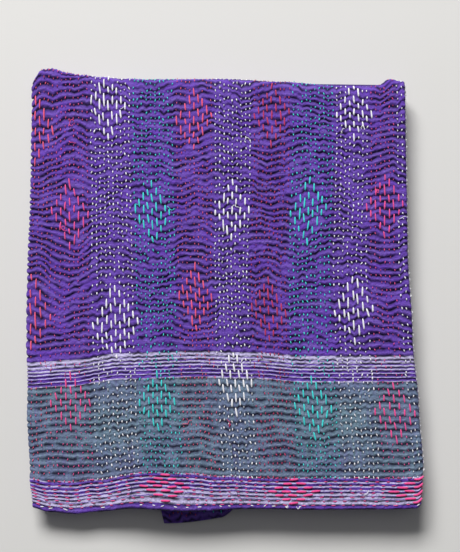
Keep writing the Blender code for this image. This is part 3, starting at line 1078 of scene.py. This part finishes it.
def new_group(name, inputs, outputs):
    """An empty node group: its tree, what it is given and what it gives."""
    group = bpy.data.node_groups.new(name, "ShaderNodeTree")
    for socket, kind in inputs.items():
        group.interface.new_socket(socket, in_out="INPUT", socket_type=f"NodeSocket{kind}")
    for socket, kind in outputs.items():
        group.interface.new_socket(socket, in_out="OUTPUT", socket_type=f"NodeSocket{kind}")
    return group, group.nodes.new("NodeGroupInput").outputs, group.nodes.new("NodeGroupOutput").inputs


# %% [markdown]
# **Lint.** Washed cotton has a soft, uneven surface of short fibres, which takes the edge off its
# gloss and its colour. Two sizes of noise make it: one gives the fibres, one the worn patches.

# %% Lint on cotton
lint, given, gives = new_group(
    "cotton_lint", {"Place": "Vector", "Fibres per metre": "Float"},
    {"Height": "Float", "Roughness": "Float", "Patches": "Float"},
)
fine = node(lint, "ShaderNodeTexNoise", {"Vector": given["Place"], "Scale": given["Fibres per metre"], "Detail": 3.0})
patches = noise(lint, given["Place"], (55.0, 55.0, 55.0), 3.0)
lint.links.new(fine.outputs[0], gives["Height"])
lint.links.new(maths(lint, "MULTIPLY_ADD", fine.outputs[0], 0.22, 0.74), gives["Roughness"])
lint.links.new(patches, gives["Patches"])

# %% [markdown]
# ** Fading and painted light.** Sun and washing fade a dye unevenly, and most on what stands up and rubs. The same pale mix also paints a highlight on the cloth's ridges.
# The second mask mixes in near black: painted shade in the cloth's creases and in the threads' grooves, and a darker
# tone at random on the threads. The group takes a colour and two masks, and gives the colour back.

# %% The fading of dye, with painted highlight and painted shade
dye_and_painted_light, given, gives = new_group(
    "washed_dye_and_painted_light", {"Dye": "Color", "Faded_and_highlight": "Float", "Painted_shade_and_dirt": "Float"}, {"Colour": "Color"},
)
# Lighter where the first mask is high: fading, and on the cloth's ridges a painted highlight.
faded_and_highlit = mixed(dye_and_painted_light, maths(dye_and_painted_light, "MULTIPLY", given["Faded_and_highlight"], 0.5), given["Dye"], (0.55, 0.50, 0.72, 1.0))
# Near black where the second mask is high: painted shade, and on the threads a darker tone at random.
with_painted_shade_and_dirt = mixed(dye_and_painted_light, given["Painted_shade_and_dirt"], faded_and_highlit, (0.004, 0.002, 0.020, 1.0))
dye_and_painted_light.links.new(with_painted_shade_and_dirt, gives["Colour"])

# %% [markdown]
# ** Twist.** Sewing thread is plied from finer yarns, so grooves run round it on a slant. They are a
# wave in the distance along the thread plus the turn round it, which each stitch has written down.
# The second output marks the grooves, for painted shade in them.

# %% The twist of plied thread
twist, given, gives = new_group(
    "plied_twist", {"Place": "Vector", "Turns per metre": "Float"}, {"Height": "Float", "Painted_groove_shade": "Float"},
)
apart = node(twist, "ShaderNodeSeparateXYZ", {0: given["Place"]}).outputs
turned = maths(twist, "MULTIPLY_ADD", apart[0], given["Turns per metre"], apart[1])
wave = maths(twist, "SINE", maths(twist, "MULTIPLY", turned, 2 * math.pi))
twist.links.new(maths(twist, "MULTIPLY_ADD", wave, 0.5, 0.5), gives["Height"])
twist.links.new(maths(twist, "MULTIPLY_ADD", wave, -0.5, 0.5), gives["Painted_groove_shade"])

# %% [markdown]
# ## The sari cloth
#
# The violet cotton has a border of lavender stripes, wide at its outer edges and thinner towards a
# grey band, where a grey-green weft crosses a violet warp. The stripes are a table of widths, used
# once forwards and once backwards. A colour ramp turns the table into bands with hard edges, and a
# ramp is best here since a woven stripe changes from one thread to the next.

# %% The border's stripes
VIOLET, LAVENDER = (0.126, 0.041, 0.430, 1.0), (0.600, 0.540, 0.840, 1.0)
GREY_WEFT, VIOLET_WARP = (0.150, 0.260, 0.320, 1.0), (0.120, 0.080, 0.320, 1.0)
# From the plain cloth to the grey band: (share of the band that the stripe takes, its colour)
STRIPES = (
    (0.18, LAVENDER), (0.02, VIOLET), (0.11, LAVENDER), (0.03, VIOLET), (0.08, LAVENDER),
    (0.06, VIOLET), (0.05, LAVENDER), (0.10, VIOLET), (0.04, LAVENDER), (0.12, VIOLET),
    (0.03, LAVENDER), (0.13, VIOLET), (0.05, LAVENDER),
)
RAMP_LENGTH = 0.19


def band_starts(start, end, stripes):
    """Where each stripe of a band starts, from the hem, and its colour."""
    places = start + (end - start) * np.cumsum([0.0] + [share for share, _ in stripes])
    return [(place, colour) for place, (_, colour) in zip(places, stripes)]


STRIPE_STARTS = [
    (0.0, VIOLET), *band_starts(STRIP_END, LOWER_END, STRIPES), (LOWER_END, GREY_WEFT),
    *band_starts(GREY_END, UPPER_END, STRIPES[::-1]), (UPPER_END, VIOLET),
]
print(len(STRIPE_STARTS), "colour bands from the hem to the plain cloth")

# %% [markdown]
# The cloth's finish reads the two things written down for each point. The place in the woven cloth
# gives stripes, yarns and weave. The place in the quilting tells ridge from crease: a ridge is lighter, partly
# from wear and partly as a painted highlight, and a crease is darkened with painted shade, even where light gets in.

# %% A material and its shader
def new_finish(name, **constants):
    """A material with its node tree and its shader, whose constant sockets are set here."""
    material = bpy.data.materials.new(name)
    material.use_nodes = True
    shader = material.node_tree.nodes["Principled BSDF"]
    for socket, value in constants.items():
        shader.inputs[socket.replace("_", " ")].default_value = value
    return material, material.node_tree, shader


def noted(tree, name):
    """What is written down on the mesh under that name: the whole, and its three numbers."""
    whole = node(tree, "ShaderNodeAttribute", attribute_name=name).outputs["Vector"]
    return whole, node(tree, "ShaderNodeSeparateXYZ", {0: whole}).outputs


sari_cotton, tree, shader = new_finish(
    "sari_cotton", Sheen_Weight=0.10, Sheen_Roughness=0.45, Sheen_Tint=(0.55, 0.45, 1.0, 1.0),
)
shader.inputs["Specular IOR Level"].default_value = 0.28
cloth_spot, (across_cloth, along_cloth, hem_distance) = noted(tree, "cloth_place")
_, (row_here, ridge_here, depth_here) = noted(tree, "quilting")

# %% Stripes and yarns
yarns_shift = maths(tree, "MULTIPLY_ADD", noise(tree, cloth_spot, (130.0, 60.0, 0.0), 1.0), 0.0022, -0.0011)
stripe_place = maths(tree, "DIVIDE", maths(tree, "ADD", hem_distance, yarns_shift), RAMP_LENGTH)
ramp_node = node(tree, "ShaderNodeValToRGB", {0: stripe_place})
stripe_ramp = ramp_node.color_ramp
stripe_ramp.interpolation = "CONSTANT"
stripe_ramp.elements.remove(stripe_ramp.elements[1])
stripe_ramp.elements[0].color = STRIPE_STARTS[0][1]
for place, colour in STRIPE_STARTS[1:]:
    stripe_ramp.elements.new(place / RAMP_LENGTH).color = colour
weft_yarns = noise(tree, cloth_spot, (25.0, 900.0, 0.0), 1.0)
warp_yarns = noise(tree, cloth_spot, (900.0, 25.0, 0.0), 1.0)
in_grey = maths(tree, "MULTIPLY", maths(tree, "GREATER_THAN", hem_distance, LOWER_END),
                maths(tree, "LESS_THAN", hem_distance, GREY_END))
broad = noise(tree, cloth_spot, (9.0, 16.0, 0.0), 1.0)
warp_shows = maths(tree, "MULTIPLY_ADD", warp_yarns, 1.3, maths(tree, "SUBTRACT", broad, 0.85))
crossed = maths(tree, "MULTIPLY", in_grey, maths(tree, "MAXIMUM", warp_shows, 0.0))
dye = mixed(tree, crossed, ramp_node.outputs[0], VIOLET_WARP)
print(len(stripe_ramp.elements), "stops in the stripe ramp")

# %% Fading, painted highlight on the ridges, painted shade in the creases, and weave
lint_out = node(tree, "ShaderNodeGroup", {"Place": cloth_spot, "Fibres per metre": 2600.0}, node_tree=lint).outputs
crest = maths(tree, "ABSOLUTE", maths(tree, "SINE", maths(tree, "MULTIPLY", ridge_here, math.pi)))
# Painted shade: this crease mask darkens the colour towards near black in the creases.
low = maths(tree, "POWER", maths(tree, "SUBTRACT", 1.0, crest), 0.50)
yarn_tone = maths(tree, "MULTIPLY_ADD", weft_yarns, 0.5, maths(tree, "MULTIPLY", lint_out["Patches"], 0.6))
# The crests are lighter: partly wear, partly a painted highlight.
crest_wear_and_highlight = maths(tree, "MULTIPLY", maths(tree, "SUBTRACT", yarn_tone, 0.40), maths(tree, "MULTIPLY", crest, 0.9))
washed_out = node(tree, "ShaderNodeGroup", {
    "Dye": dye, "Faded_and_highlight": maths(tree, "MAXIMUM", crest_wear_and_highlight, 0.0), "Painted_shade_and_dirt": maths(tree, "MULTIPLY", low, depth_here),
}, node_tree=dye_and_painted_light).outputs
warp_wave = maths(tree, "SINE", maths(tree, "MULTIPLY", across_cloth, 2 * math.pi * 1000))
weft_wave = maths(tree, "SINE", maths(tree, "MULTIPLY", along_cloth, 2 * math.pi * 1000))
weave = maths(tree, "MULTIPLY_ADD", maths(tree, "MULTIPLY", warp_wave, weft_wave), 0.5, weft_yarns)
weave_height = maths(tree, "MULTIPLY_ADD", lint_out["Height"], 0.5, weave)
weave_bump = node(tree, "ShaderNodeBump", {"Height": weave_height, "Strength": 0.5, "Distance": 0.0003})
wrinkles = noise(tree, cloth_spot, (360.0, 260.0, 0.0), 3.0)
wrinkle_bump = node(tree, "ShaderNodeBump", {
    "Height": wrinkles, "Strength": 1.0, "Distance": 0.0022, "Normal": weave_bump.outputs[0],
})
tree.links.new(washed_out["Colour"], shader.inputs["Base Color"])
tree.links.new(lint_out["Roughness"], shader.inputs["Roughness"])
tree.links.new(wrinkle_bump.outputs[0], shader.inputs["Normal"])
quilt_mesh.materials.append(sari_cotton)

# %% [markdown]
# ## The threads
#
# All the threads are the same soft cotton in different dyes, so one function makes every thread's
# finish and only the dye changes. No two stitches are the same tone: some were sewn from another
# hank, some are rubbed, some lie deep in the cloth and look dirty. The chance number of each stitch
# drives that.

# %% The threads' finishes
THREAD_DYES = {  # its dye, and how much the stitches differ in tone
    "white": ((0.900, 0.890, 0.920, 1.0), 0.35),
    "aqua": ((0.020, 0.700, 0.680, 1.0), 0.50),
    "pink": ((0.900, 0.060, 0.280, 1.0), 0.50),
    "coral": ((0.900, 0.080, 0.190, 1.0), 0.55),
    "crimson": ((0.520, 0.008, 0.090, 1.0), 0.50),
    "violet": ((0.020, 0.010, 0.070, 1.0), 0.30),
}


def thread_finish(thread):
    dye, differs = THREAD_DYES[thread]
    material, tree, shader = new_finish(
        f"{thread}_cotton_thread", Sheen_Weight=0.25, Sheen_Roughness=0.4,
    )
    shader.inputs["Specular IOR Level"].default_value = 0.30
    place, (_, _, stitch_chance) = noted(tree, "along_thread")
    twist_out = node(tree, "ShaderNodeGroup", {"Place": place, "Turns per metre": 620.0}, node_tree=twist).outputs
    lint_out = node(tree, "ShaderNodeGroup", {"Place": place, "Fibres per metre": 1900.0}, node_tree=lint).outputs
    dirt = maths(tree, "MULTIPLY", maths(tree, "POWER", stitch_chance, 2.2), differs)
    # Painted shade in the twist's grooves, plus a darker tone at random from each stitch's chance number.
    groove_shade_and_dirt = maths(tree, "MULTIPLY_ADD", twist_out["Painted_groove_shade"], 0.14, dirt)
    washed_out = node(tree, "ShaderNodeGroup", {
        "Dye": dye, "Faded_and_highlight": maths(tree, "MULTIPLY", lint_out["Patches"], 0.18), "Painted_shade_and_dirt": groove_shade_and_dirt,
    }, node_tree=dye_and_painted_light).outputs
    height = maths(tree, "MULTIPLY_ADD", lint_out["Height"], 0.4, twist_out["Height"])
    bump = node(tree, "ShaderNodeBump", {"Height": height, "Strength": 0.6, "Distance": 0.0002})
    tree.links.new(washed_out["Colour"], shader.inputs["Base Color"])
    tree.links.new(lint_out["Roughness"], shader.inputs["Roughness"])
    tree.links.new(bump.outputs[0], shader.inputs["Normal"])
    return material


for thread, piece in stitches.items():
    piece.data.materials.append(thread_finish(thread))
print(len(bpy.data.node_groups), "node groups and", len(bpy.data.materials), "finishes")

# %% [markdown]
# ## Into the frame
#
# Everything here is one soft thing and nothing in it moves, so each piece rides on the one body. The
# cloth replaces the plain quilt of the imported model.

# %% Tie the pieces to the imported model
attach(quilt, "root")
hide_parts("quilt")
for thread, piece in stitches.items():
    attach(piece, "root")

# %% [markdown]
# ## Light, floor and camera
#
# The quilt lies on a plain pale floor. One soft lamp stands low behind its far edge, like a window,
# so light rakes over the ridges and each throws a shadow into the crease before it. A wide, weak
# lamp overhead and a dim sky fill the shadows. The camera looks almost straight down.

# %% Floor
floor_mesh = bpy.data.meshes.new("floor")
FLOOR_HALF, FLOOR_AT = 3.0, -0.0003
floor_mesh.from_pydata([
    (-FLOOR_HALF, -FLOOR_HALF, FLOOR_AT), (FLOOR_HALF, -FLOOR_HALF, FLOOR_AT),
    (FLOOR_HALF, FLOOR_HALF, FLOOR_AT), (-FLOOR_HALF, FLOOR_HALF, FLOOR_AT),
], [], [(0, 1, 2, 3)])
floor = bpy.data.objects.new("floor", floor_mesh)
bpy.context.collection.objects.link(floor)
floor_paint, _, floor_shader = new_finish("pale_floor", Roughness=0.9)
floor_shader.inputs["Base Color"].default_value = (0.62, 0.61, 0.59, 1.0)
floor_mesh.materials.append(floor_paint)

# %% Lamps and sky
LAMPS = {  # where each lamp is, its size and its power
    "window": ((-1.10, 3.60, 3.40), (2.6, 1.6), 390.0),
    "overhead": ((0.10, 0.30, 2.20), (1.6, 1.6), 5.0),
}
for name, (place, (wide, tall), power) in LAMPS.items():
    lamp = bpy.data.lights.new(name, "AREA")
    lamp.energy, lamp.shape, lamp.size, lamp.size_y = power, "RECTANGLE", wide, tall
    stand = bpy.data.objects.new(name, lamp)
    stand.location = place
    stand.rotation_euler = Vector(place).to_track_quat("Z", "Y").to_euler()
    bpy.context.collection.objects.link(stand)
sky = bpy.data.worlds.new("sky")
sky.use_nodes = True
sky.node_tree.nodes["Background"].inputs["Color"].default_value = (0.85, 0.90, 1.0, 1.0)
sky.node_tree.nodes["Background"].inputs["Strength"].default_value = 0.07
bpy.context.scene.world = sky

# %% Camera
LEAN = math.radians(6)  # from straight down
AIM, FAR_OFF = Vector((0.0081, 0.0167, 0.03)), 1.15
back_to_camera = Vector((0, -math.sin(LEAN), math.cos(LEAN)))
camera = bpy.data.objects.new("camera", bpy.data.cameras.new("camera"))
camera.location = AIM + back_to_camera * FAR_OFF
camera.rotation_euler = back_to_camera.to_track_quat("Z", "Y").to_euler()
camera.data.lens = 68.18
bpy.context.collection.objects.link(camera)
bpy.context.scene.camera = camera

# The plain view keeps the dyes as strong as they are: the usual filmic one would soften them
bpy.context.scene.view_settings.view_transform = "Standard"
